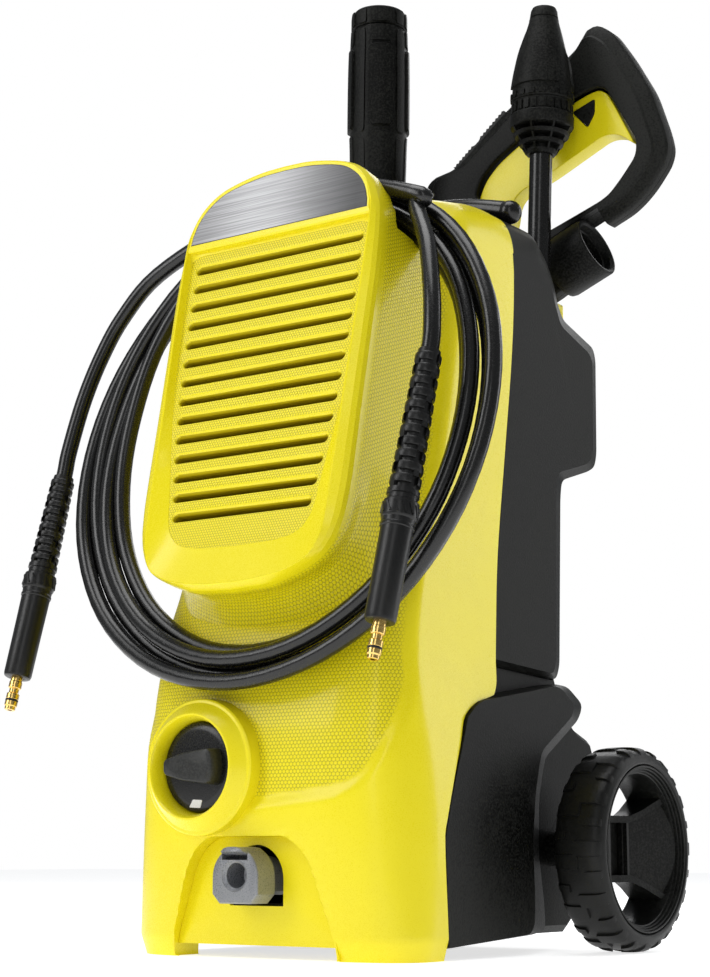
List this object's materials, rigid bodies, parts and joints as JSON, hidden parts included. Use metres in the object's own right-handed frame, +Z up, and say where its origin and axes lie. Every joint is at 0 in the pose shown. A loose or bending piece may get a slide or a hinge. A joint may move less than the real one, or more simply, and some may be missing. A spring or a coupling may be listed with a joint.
{
  "type": "pressure washer",
  "caption": "Upright electric pressure washer on two wheels with a coiled high-pressure hose, trigger gun and two lances stowed on it.",
  "frame": {"origin": "on the ground, below the middle of the machine", "axes": "+Z up, the front with the dial and the outlet towards -Y, +X to the right of someone facing the front"},
  "size_m": [0.4681, 0.4442, 0.8993],
  "materials": {
    "yellow_shell": "moulded, semi-gloss, with a fine dot grain",
    "black_shell": "fine moulded grain, matt",
    "black_smooth": "smooth satin black",
    "hose": "smooth, slight gloss",
    "hose_relief": "satin black",
    "tyre": "hard black tread",
    "wheel": "satin black",
    "plate": "brushed across, bare",
    "coupler": "light grey, satin",
    "steel": "drawn and ground",
    "aluminium": "die cast",
    "brass": "turned",
    "grip_rubber": "ribbed, matt"
  },
  "bodies": {
    "root": {"front_cover": "yellow_shell", "hood": "yellow_shell", "grille_panel": "yellow_shell", "dial_bezel": "yellow_shell", "gun_cradle": "yellow_shell", "rear_cover": "black_shell", "side_cover_right": "black_shell", "side_cover_left": "black_shell", "chassis": "black_shell", "handle_guide_right": "black_shell", "handle_guide_left": "black_shell", "switch_block": "black_shell", "outlet_surround": "black_shell", "pressure_switch": "black_shell", "water_inlet": "black_shell", "cable_gland": "black_shell", "hose_coil": "hose", "hose_tail_right": "hose", "hose_tail_left": "hose", "hose_grip_right": "hose_relief", "hose_grip_left": "hose_relief", "axle_cap_right": "wheel", "axle_cap_left": "wheel", "name_plate": "plate", "outlet_coupling": "coupler", "axle": "steel", "motor_body": "steel", "inlet_filter": "steel", "pump_head": "aluminium", "outlet_pipe": "brass", "hose_nipple_right": "brass", "hose_nipple_left": "brass"},
    "right_wheel": {"wheel_right": "wheel", "tyre_right": "tyre"},
    "left_wheel": {"wheel_left": "wheel", "tyre_left": "tyre"},
    "dial": {"power_knob": "black_smooth"},
    "handle": {"handle_grip": "black_smooth", "handle_tube_right": "steel", "handle_tube_left": "steel"},
    "latch": {"outlet_latch": "coupler"},
    "rotor": {"motor_rotor": "steel", "motor_fan": "black_shell", "wobble_plate": "steel"},
    "first_piston": {"piston_1": "steel"},
    "second_piston": {"piston_2": "steel"},
    "third_piston": {"piston_3": "steel"},
    "gun": {"gun_shell_front": "black_shell", "gun_shell_back": "black_shell", "gun_muzzle": "black_shell", "gun_grip_pad": "grip_rubber", "gun_inlet": "black_shell"},
    "trigger": {"gun_trigger": "yellow_shell"},
    "trigger_lock": {"gun_lock": "black_shell"},
    "dirt_lance": {"dirt_lance_tube": "black_smooth", "dirt_lance_ring": "black_shell", "dirt_lance_head": "black_shell"},
    "vario_lance": {"vario_lance_tube": "black_smooth", "vario_cap": "black_shell"},
    "spray_sleeve": {"vario_sleeve": "black_shell"}
  },
  "joints": [
    {"name": "right_wheel_spin", "type": "hinge", "parent": "root", "child": "right_wheel", "pos_m": [0.177, 0.0947, 0.0825], "axis": [1, 0, 0], "continuous": true},
    {"name": "left_wheel_spin", "type": "hinge", "parent": "root", "child": "left_wheel", "pos_m": [-0.177, 0.0947, 0.0825], "axis": [1, 0, 0], "continuous": true},
    {"name": "dial_turn", "type": "hinge", "parent": "root", "child": "dial", "pos_m": [-0.042, -0.176, 0.145], "axis": [0, 1, 0], "range_deg": [0, 90]},
    {"name": "handle_pull", "type": "slide", "parent": "root", "child": "handle", "axis": [0, 0, 1], "range_m": [0, 0.25]},
    {"name": "latch_press", "type": "slide", "parent": "root", "child": "latch", "axis": [0, 0, -1], "range_m": [0, 0.003], "stiffness_N_per_m": 500, "springref_m": -0.002},
    {"name": "rotor_spin", "type": "hinge", "parent": "root", "child": "rotor", "pos_m": [0, -0.028, 0.25], "axis": [0, 0, 1], "continuous": true},
    {"name": "first_piston_stroke", "type": "slide", "parent": "root", "child": "first_piston", "axis": [0, 0, -1], "range_m": [0, 0.006], "stiffness_N_per_m": 3000, "springref_m": -0.002},
    {"name": "second_piston_stroke", "type": "slide", "parent": "root", "child": "second_piston", "axis": [0, 0, -1], "range_m": [0, 0.006], "stiffness_N_per_m": 3000, "springref_m": -0.002},
    {"name": "third_piston_stroke", "type": "slide", "parent": "root", "child": "third_piston", "axis": [0, 0, -1], "range_m": [0, 0.006], "stiffness_N_per_m": 3000, "springref_m": -0.002},
    {"name": "gun_lift_off", "type": "slide", "parent": "root", "child": "gun", "axis": [0, 0, 1], "range_m": [0, 0.08]},
    {"name": "trigger_pull", "type": "hinge", "parent": "gun", "child": "trigger", "pos_m": [0.007, 0.181, 0.668], "axis": [0, -1, 0], "range_deg": [0, 6], "stiffness_Nm_per_rad": 4, "springref_deg": -2.86},
    {"name": "lock_push", "type": "slide", "parent": "trigger", "child": "trigger_lock", "axis": [0, 1, 0], "range_m": [0, 0.0015], "stiffness_N_per_m": 300, "springref_m": -0.001},
    {"name": "dirt_lance_pull", "type": "slide", "parent": "root", "child": "dirt_lance", "axis": [0.0436, 0, 0.999], "range_m": [0, 0.11]},
    {"name": "vario_lance_pull", "type": "slide", "parent": "root", "child": "vario_lance", "axis": [0.014, 0, 0.9999], "range_m": [0, 0.11]},
    {"name": "spray_sleeve_turn", "type": "hinge", "parent": "vario_lance", "child": "spray_sleeve", "pos_m": [-0.0985, 0.134, 0.425], "axis": [0.014, 0, 0.9999], "range_deg": [0, 90]}
  ]
}
